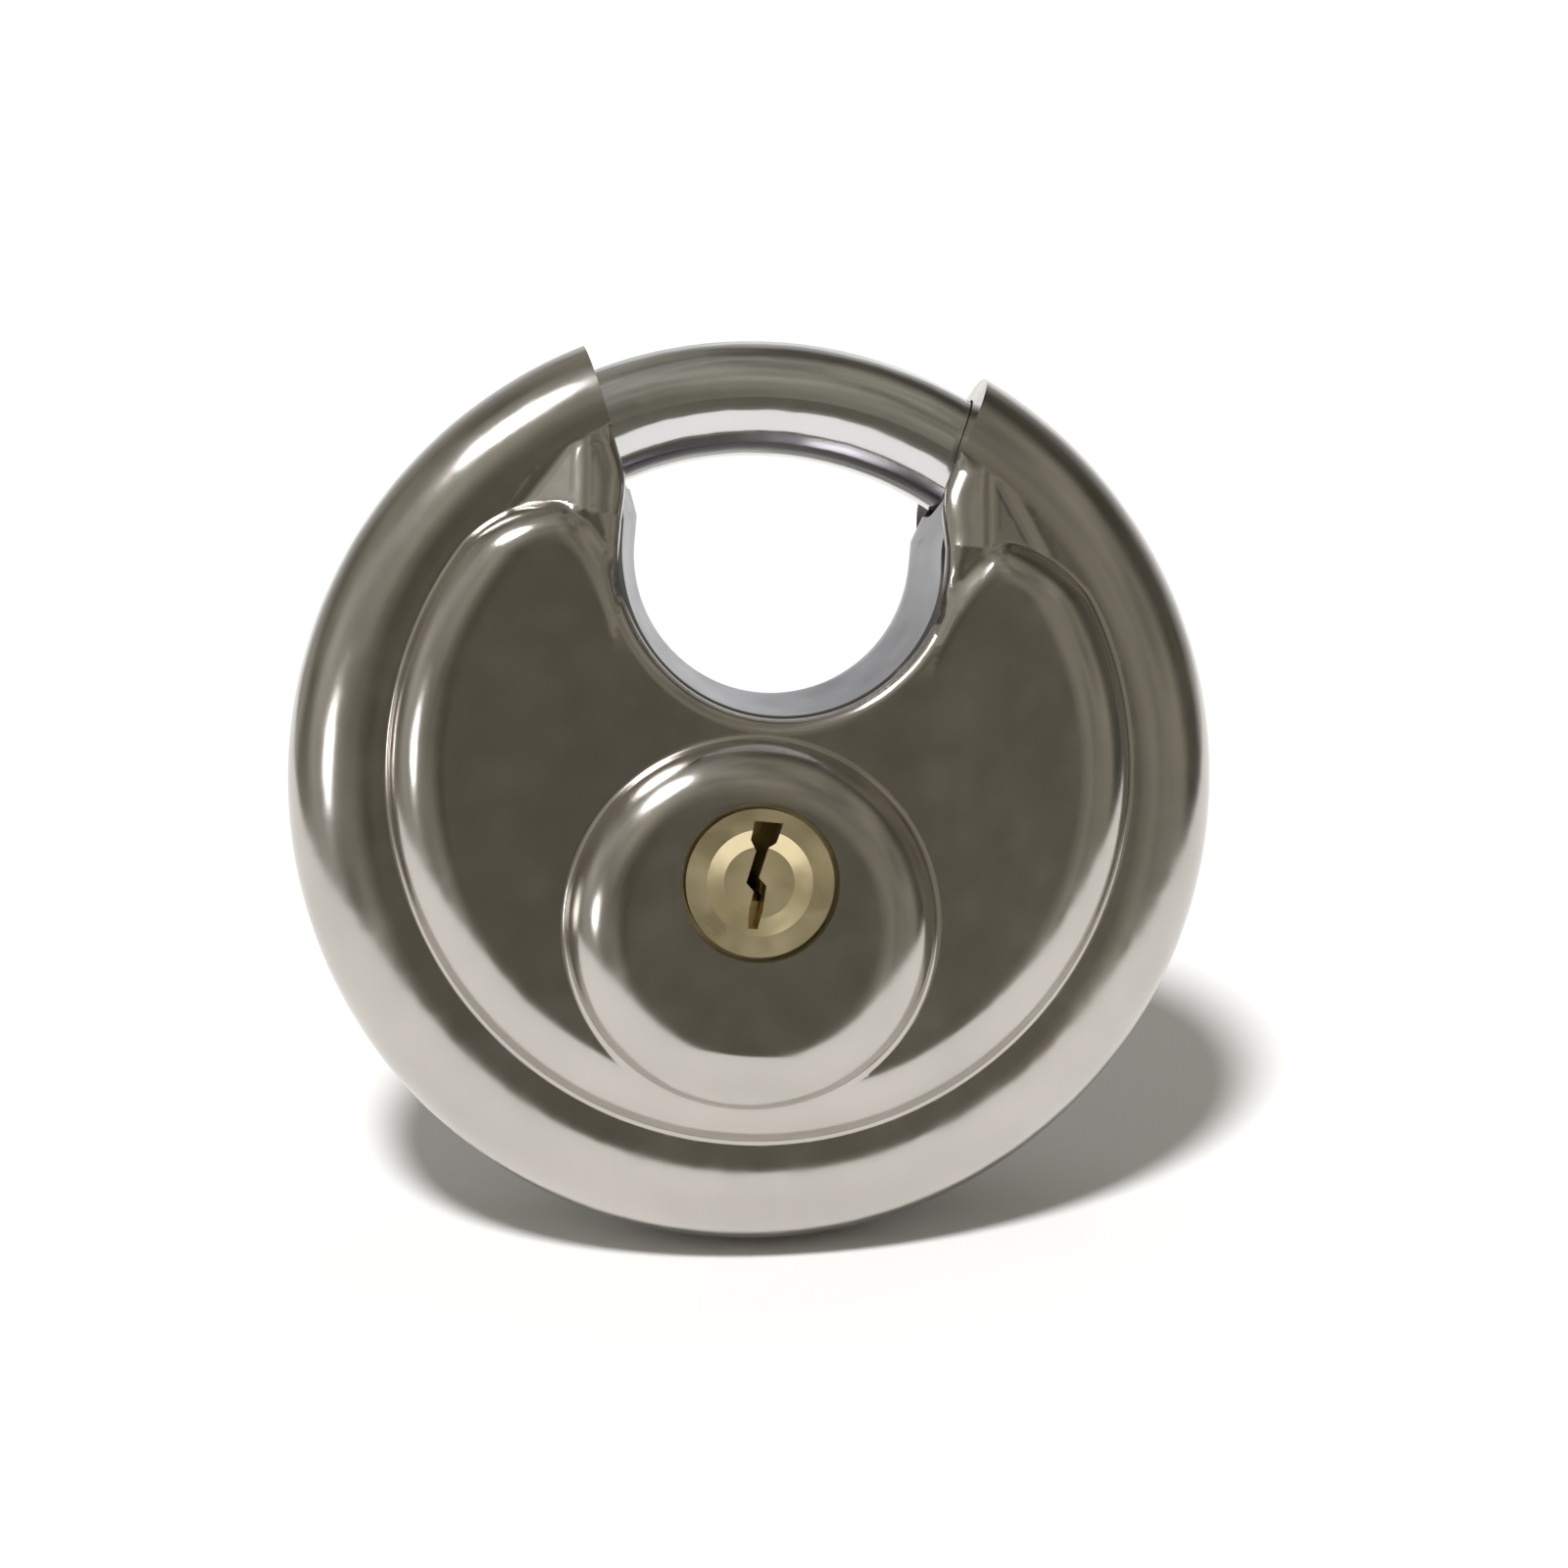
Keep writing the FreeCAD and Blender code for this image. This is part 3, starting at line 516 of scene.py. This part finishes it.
def build_mesh(name, points, smooth, flat, normals):
    """Mesh object whose smooth polygons take the given vertex normals and whose flat ones keep their own."""
    mesh = bpy.data.meshes.new(name)
    mesh.from_pydata(points.tolist(), [], [[int(i) for i in p] for p in smooth + flat])
    mesh.shade_smooth()
    loop_normals = []
    for polygon in mesh.polygons:
        if polygon.index < len(smooth):
            loop_normals += [normals[v] for v in polygon.vertices]
        else:
            loop_normals += [tuple(polygon.normal)] * len(polygon.vertices)
    mesh.normals_split_custom_set([tuple(n) for n in loop_normals])
    piece = bpy.data.objects.new(name, mesh)
    bpy.context.scene.collection.objects.link(piece)
    return piece


def casing_mesh(name, boss, facing):
    """Closed sheet-metal half casing; facing is -1 for the front half and 1 for the rear half."""
    plan, faces, crest_count = triangulate(boss)
    x, z = plan.T
    outer_rows = [(plan, casing_level(x, z, boss), casing_normals(x, z, boss))]
    plain_rows = [(casing_level(x, z, boss, False), casing_normals(x, z, boss, False))]
    polygons = [tuple(f) for f in faces]
    previous = np.arange(crest_count)
    total = len(plan)
    for row in rim_rows(plan[:crest_count]):
        current = np.arange(total, total + crest_count)
        outer_rows.append(row)
        plain_rows.append(row[1:])
        polygons += zip(previous[:-1], current[:-1], current[1:], previous[1:])
        previous = current
        total += crest_count
    plan, level, normal = (np.concatenate(column) for column in zip(*outer_rows))
    plain_level, plain_normal = (np.concatenate(column) for column in zip(*plain_rows))
    outer = np.concatenate([plan, level[:, None]], axis=1)
    plain = np.concatenate([plan, plain_level[:, None]], axis=1)
    inner = plain - plain_normal * (SHEET + horn_lip(plain))[:, None]
    inner[:, 2] = np.clip(inner[:, 2], 0, None)
    smooth, flat = thick_sheet(facing_out(outer, polygons, normal), total)
    if facing > 0:
        smooth, flat = other_way(smooth), other_way(flat)
    points = lock_points(turned_horns(np.concatenate([outer, inner])), facing)
    normals = lock_normals(np.concatenate([normal, -plain_normal]), facing)
    return build_mesh(name, points, smooth, flat, normals)


def liner_stations():
    """Places along the U: (side, height) on its legs and (0, clockwise angle from the top) round its bend."""
    left = [(-1, z) for z in np.linspace(LINER_TOP, THROAT_RISE, LEG_POINTS)[:-1]]
    bend = [(0, angle) for angle in np.linspace(1.5 * math.pi, 0.5 * math.pi, BEND_POINTS)]
    right = [(1, z) for z in np.linspace(THROAT_RISE, LINER_TOP, LEG_POINTS)[1:]]
    return left + bend + right


def liner_points(side, place, half, level):
    """Inner point, outer point and outward direction in plan, at a station and a level across the strip."""
    if side:
        saddle = LINER_SADDLE * smooth_step(*LINER_SADDLE_LEVELS, abs(level))
        z = THROAT_RISE + (place - THROAT_RISE) * (1 + saddle / (LINER_TOP - THROAT_RISE))
        out = np.array([side, 0.0])
        base = np.array([side * max(0.0, z - GAP_FOOT) * math.tan(GAP_LEAN), z])
        drop = np.array([0.0, -LINER_TIP_DROP * smooth_step(GAP_FOOT, LINER_TOP, z)])
    else:
        out = np.array([math.sin(place), math.cos(place)])
        base = np.array([0.0, THROAT_RISE])
        drop = np.zeros(2)
        z = THROAT_RISE + out[1] * half
    level = level * (1 - LINER_NARROWING * smooth_step(LINER_NARROWING_RISE, LINER_TOP, z))
    return [*(base + out * half), level], [*(base + drop + out * (half + LINER_WALL)), level], out


def liner_mesh():
    """Hardened U strip: narrowest at the mid-plane, flared to both faces, its tips leaning with the horns."""
    front_levels = np.linspace(LINER_LAND_HALF, LINER_LEVEL, FLARE_POINTS)
    levels = np.concatenate([-front_levels[::-1], front_levels])
    flare = (LINER_MOUTH - LINER_LAND) / (LINER_LEVEL - LINER_LAND_HALF)
    halves = LINER_LAND + np.clip(np.abs(levels) - LINER_LAND_HALF, 0, None) * flare
    tilts = np.sign(levels) * np.where(np.abs(levels) > LINER_LAND_HALF, flare, flare / 2)
    inner, outer, normals = [], [], []
    stations = liner_stations()
    for side, place in stations:
        for half, level, tilt in zip(halves, levels, tilts):
            inner_point, outer_point, out = liner_points(side, place, half, level)
            inner.append(inner_point)
            outer.append(outer_point)
            slope = np.array([*(-out), tilt])
            normals.append(slope / np.linalg.norm(slope))
    count = len(inner)
    index = np.arange(count).reshape(len(stations), len(levels))
    corners = [index[:-1, :-1], index[:-1, 1:], index[1:, 1:], index[1:, :-1]]
    quads = np.stack(corners, axis=-1).reshape(-1, 4)
    points = np.array(inner + outer)
    both_normals = np.concatenate([normals, -np.array(normals)])
    smooth, flat = thick_sheet(facing_out(points, [tuple(q) for q in quads], both_normals), count)
    normals = lock_normals(both_normals, 1)
    return build_mesh("liner", lock_points(points, 1), other_way(smooth), other_way(flat), normals)


# ------------------------------------------ materials

CLOUD_SCALE = 110
POLISH_SCALE = 300
SWELL_HEIGHT = 0.0004
NOISE_RANGE = (0.3, 0.7)


def new_material(name):
    material = bpy.data.materials.new(name)
    material.use_nodes = True
    nodes = material.node_tree.nodes
    return material, nodes, material.node_tree.links, nodes["Principled BSDF"]


def noise_node(nodes, links, scale, detail):
    coordinates = nodes.new("ShaderNodeTexCoord")
    noise = nodes.new("ShaderNodeTexNoise")
    noise.inputs["Scale"].default_value = scale
    noise.inputs["Detail"].default_value = detail
    links.new(coordinates.outputs["Object"], noise.inputs["Vector"])
    return noise.outputs["Fac"]


def range_node(nodes, links, source, old_range, new_range):
    mapped = nodes.new("ShaderNodeMapRange")
    mapped.inputs["From Min"].default_value, mapped.inputs["From Max"].default_value = old_range
    mapped.inputs["To Min"].default_value, mapped.inputs["To Max"].default_value = new_range
    links.new(source, mapped.inputs["Value"])
    return mapped.outputs["Result"]


def metal(name, colour, tint, roughness, spread, wave=0.0, wave_scale=0.0):
    """Metal with cloudy colour, uneven polish and a slow waviness in the surface."""
    material, nodes, links, shader = new_material(name)
    shader.inputs["Metallic"].default_value = 1.0
    mix = nodes.new("ShaderNodeMix")
    mix.data_type = "RGBA"
    mix.inputs["A"].default_value = (*colour, 1)
    mix.inputs["B"].default_value = (*tint, 1)
    links.new(noise_node(nodes, links, CLOUD_SCALE, 4), mix.inputs["Factor"])
    links.new(mix.outputs["Result"], shader.inputs["Base Color"])
    polish = noise_node(nodes, links, POLISH_SCALE, 6)
    rough = range_node(nodes, links, polish, NOISE_RANGE, (roughness - spread, roughness + spread))
    links.new(rough, shader.inputs["Roughness"])
    if wave:
        swell = nodes.new("ShaderNodeBump")
        swell.inputs["Strength"].default_value = wave
        swell.inputs["Distance"].default_value = SWELL_HEIGHT
        links.new(noise_node(nodes, links, wave_scale, 2), swell.inputs["Height"])
        links.new(swell.outputs["Normal"], shader.inputs["Normal"])
    return material


def make_materials():
    """The metals by the names of their slots: two colours, roughness and its spread, and any waviness."""
    looks = {
        "stainless": ((0.62, 0.585, 0.55), (0.47, 0.445, 0.415), 0.18, 0.04, 0.22, 150),
        "hardened_steel": ((0.4, 0.395, 0.425), (0.34, 0.335, 0.36), 0.34, 0.05, 0.08, 120),
        "chromed_bar": ((0.74, 0.74, 0.75), (0.66, 0.65, 0.65), 0.11, 0.03, 0.3, 170),
        "brass": ((0.95, 0.84, 0.58), (0.76, 0.62, 0.36), 0.34, 0.08, 0.3, 260),
        "die_cast": ((0.4, 0.41, 0.42), (0.32, 0.33, 0.34), 0.55, 0.08),
        "plain_steel": ((0.5, 0.49, 0.48), (0.42, 0.42, 0.41), 0.32, 0.06),
        "spring_steel": ((0.42, 0.42, 0.43), (0.35, 0.35, 0.36), 0.28, 0.05),
    }
    return {name: metal(name, *look) for name, look in looks.items()}


def dress_nodes(materials):
    """Give every node of the frame the material of its slot."""
    for part in frame["record"]["subparts"]:
        for slot in frame["nodes"][part["node"]].material_slots:
            slot.material = materials[part["material_slot"]]


def finish_piece(piece, node, slot, materials):
    """Paint a piece that takes the place of a node on the lock's body."""
    piece.data.materials.append(materials[slot])
    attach(piece, "lock_body")
    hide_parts(node)


# ------------------------------------------ stage, light and camera

CAMERA_AZIMUTH = math.radians(-5.5)
CAMERA_ELEVATION = math.radians(2.5)
CAMERA_ROLL = math.radians(5.3)
CAMERA_DISTANCE = 0.35
CAMERA_SENSOR = 36.0
CAMERA_LENS = 105.84
CAMERA_SHIFT = (0.0209375, -0.0040625)
FLOOR_SLOPE = math.radians(18.5)
FLOOR_WIDTH = 0.18
FLOOR_FRONT = -0.6
FLOOR_BACK = 0.9


def camera_axes():
    """Right, up and back directions of the camera, and its rotation."""
    a, e = CAMERA_AZIMUTH, CAMERA_ELEVATION
    back = Vector((math.sin(a) * math.cos(e), -math.cos(a) * math.cos(e), math.sin(e)))
    turn = (-back).to_track_quat("-Z", "Y") @ Quaternion((0, 0, 1), CAMERA_ROLL)
    return turn @ Vector((1, 0, 0)), turn @ Vector((0, 1, 0)), back, turn


def stage_direction(across, upward, backward):
    """World direction of one given as right, up and towards the viewer on the stage."""
    right, up, back, _ = camera_axes()
    return (right * across + up * upward + back * backward).normalized()


def add_camera():
    _, _, back, turn = camera_axes()
    data = bpy.data.cameras.new("camera")
    data.sensor_width = CAMERA_SENSOR
    data.lens = CAMERA_LENS
    data.shift_x, data.shift_y = CAMERA_SHIFT
    camera = bpy.data.objects.new("camera", data)
    bpy.context.scene.collection.objects.link(camera)
    camera.rotation_mode = "QUATERNION"
    camera.location = CENTRE + back * CAMERA_DISTANCE
    camera.rotation_quaternion = turn
    bpy.context.scene.camera = camera


def floor_material():
    """Matt white that is clear from below, so that the floor hides nothing seen from there."""
    material, nodes, links, shader = new_material("floor")
    shader.inputs["Base Color"].default_value = (0.76, 0.76, 0.76, 1)
    shader.inputs["Roughness"].default_value = 0.9
    shader.inputs["Specular IOR Level"].default_value = 0.1
    sides = nodes.new("ShaderNodeNewGeometry")
    clear = nodes.new("ShaderNodeBsdfTransparent")
    mix = nodes.new("ShaderNodeMixShader")
    links.new(sides.outputs["Backfacing"], mix.inputs["Fac"])
    links.new(shader.outputs["BSDF"], mix.inputs[1])
    links.new(clear.outputs["BSDF"], mix.inputs[2])
    links.new(mix.outputs["Shader"], nodes["Material Output"].inputs["Surface"])
    return material


def add_floor():
    """Pale floor touching the rim, level across the picture and rising gently behind the lock."""
    right = camera_axes()[0]
    slope = CAMERA_ELEVATION + FLOOR_SLOPE
    normal = stage_direction(0, math.cos(slope), math.sin(slope))
    support = RING * math.cos(FLOOR_SLOPE) + RIM_ROLL + STRAIGHT * math.sin(FLOOR_SLOPE)
    foot = CENTRE - normal * support * MM
    across = normal.cross(right)
    corners = []
    for side, depth in ((-1, FLOOR_FRONT), (1, FLOOR_FRONT), (1, FLOOR_BACK), (-1, FLOOR_BACK)):
        corners.append(foot + right * side * FLOOR_WIDTH + across * depth)
    mesh = bpy.data.meshes.new("floor")
    mesh.from_pydata(corners, [], [(0, 1, 2, 3)])
    mesh.materials.append(floor_material())
    floor = bpy.data.objects.new("floor", mesh)
    bpy.context.scene.collection.objects.link(floor)


def add_sun(name, direction, strength, size, glints):
    """Sun that is either seen as a glint on the metal or lights the floor and casts the shadow."""
    data = bpy.data.lights.new(name, "SUN")
    data.energy = strength
    data.angle = math.radians(size)
    light = bpy.data.objects.new(name, data)
    light.visible_glossy = glints
    light.visible_diffuse = not glints
    light.rotation_mode = "QUATERNION"
    light.rotation_quaternion = direction.to_track_quat("Z", "Y")
    bpy.context.scene.collection.objects.link(light)


def add_lights():
    """Key light and a weaker one overhead for the shadow, and two that only glint on the metal."""
    add_sun("key", stage_direction(-0.158, 0.659, 0.735), 3.75, 9, False)
    add_sun("overhead", stage_direction(0.1, 0.98, 0.0), 0.3, 30, False)
    add_sun("glint_above", stage_direction(-0.457, 0.791, 0.407), 0.85, 18, True)
    add_sun("glint_left", stage_direction(-0.866, 0.0, 0.5), 0.2, 12, True)


# Brightness of the room by angle in degrees off the viewer's direction, for its right and left halves.
ROOM_RIGHT = (
    (0, 0.14), (18, 0.17), (40, 0.27), (80, 0.25), (98, 0.08),
    (116, 0.1), (132, 0.5), (145, 0.95), (180, 1.0),
)
ROOM_LEFT = (
    (0, 0.14), (18, 0.14), (40, 0.3), (85, 0.38), (100, 0.24),
    (116, 0.25), (132, 0.42), (146, 0.55), (180, 1.0),
)
ROOM_WARMTH = 0.26
ROOM_WARM_VALUES = (0.15, 0.6)
ROOM_CLOUD_SCALE = 2.6
ROOM_BLEND = 0.25
ROOM_CLOUDS = (0.55, 1.45)


def stage_dot(nodes, links, coordinates, direction):
    """Cosine of the angle between a direction of view and a fixed one."""
    dot = nodes.new("ShaderNodeVectorMath")
    dot.operation = "DOT_PRODUCT"
    dot.inputs[1].default_value = direction
    links.new(coordinates.outputs["Generated"], dot.inputs[0])
    return dot.outputs["Value"]


def room_half(nodes, links, coordinates, stops):
    """Colour of one half of the room by angle off the viewer's direction; the dim stops are warm."""
    angle = nodes.new("ShaderNodeMath")
    angle.operation = "ARCCOSINE"
    links.new(stage_dot(nodes, links, coordinates, stage_direction(0, 0, 1)), angle.inputs[0])
    ramp = nodes.new("ShaderNodeValToRGB")
    elements = ramp.color_ramp.elements
    while len(elements) < len(stops):
        elements.new(0.5)
    for element, (place, value) in zip(elements, stops):
        warmth = ROOM_WARMTH * (1 - smooth_step(*ROOM_WARM_VALUES, value))
        element.position = place / 180
        element.color = (value, value * (1 - warmth * 0.2), value * (1 - warmth), 1)
    along = range_node(nodes, links, angle.outputs["Value"], (0, math.pi), (0, 1))
    links.new(along, ramp.inputs["Fac"])
    return ramp.outputs["Color"]


def add_world():
    """Studio room: dim and warm in front of the lock, dark flags beside it, white behind it."""
    world = bpy.data.worlds.new("world")
    bpy.context.scene.world = world
    world.use_nodes = True
    nodes, links = world.node_tree.nodes, world.node_tree.links
    coordinates = nodes.new("ShaderNodeTexCoord")
    side = stage_dot(nodes, links, coordinates, stage_direction(1, 0, 0))
    mix = nodes.new("ShaderNodeMix")
    mix.data_type = "RGBA"
    links.new(range_node(nodes, links, side, (-ROOM_BLEND, ROOM_BLEND), (0, 1)), mix.inputs["Factor"])
    links.new(room_half(nodes, links, coordinates, ROOM_LEFT), mix.inputs["A"])
    links.new(room_half(nodes, links, coordinates, ROOM_RIGHT), mix.inputs["B"])
    clouds = nodes.new("ShaderNodeTexNoise")
    clouds.inputs["Scale"].default_value = ROOM_CLOUD_SCALE
    clouds.inputs["Detail"].default_value = 3
    links.new(coordinates.outputs["Generated"], clouds.inputs["Vector"])
    shade = range_node(nodes, links, clouds.outputs["Fac"], NOISE_RANGE, ROOM_CLOUDS)
    background = nodes["Background"]
    links.new(mix.outputs["Result"], background.inputs["Color"])
    links.new(shade, background.inputs["Strength"])


# ------------------------------------------ build

materials = make_materials()
dress_nodes(materials)
for shell, has_boss, facing in (("front_shell", True, -1), ("rear_shell", False, 1)):
    casing = casing_mesh("casing_" + shell, has_boss, facing)
    finish_piece(casing, shell, "stainless", materials)
finish_piece(liner_mesh(), "throat_liner", "hardened_steel", materials)
add_camera()
add_floor()
add_lights()
add_world()
bpy.context.scene.view_settings.view_transform = "Standard"
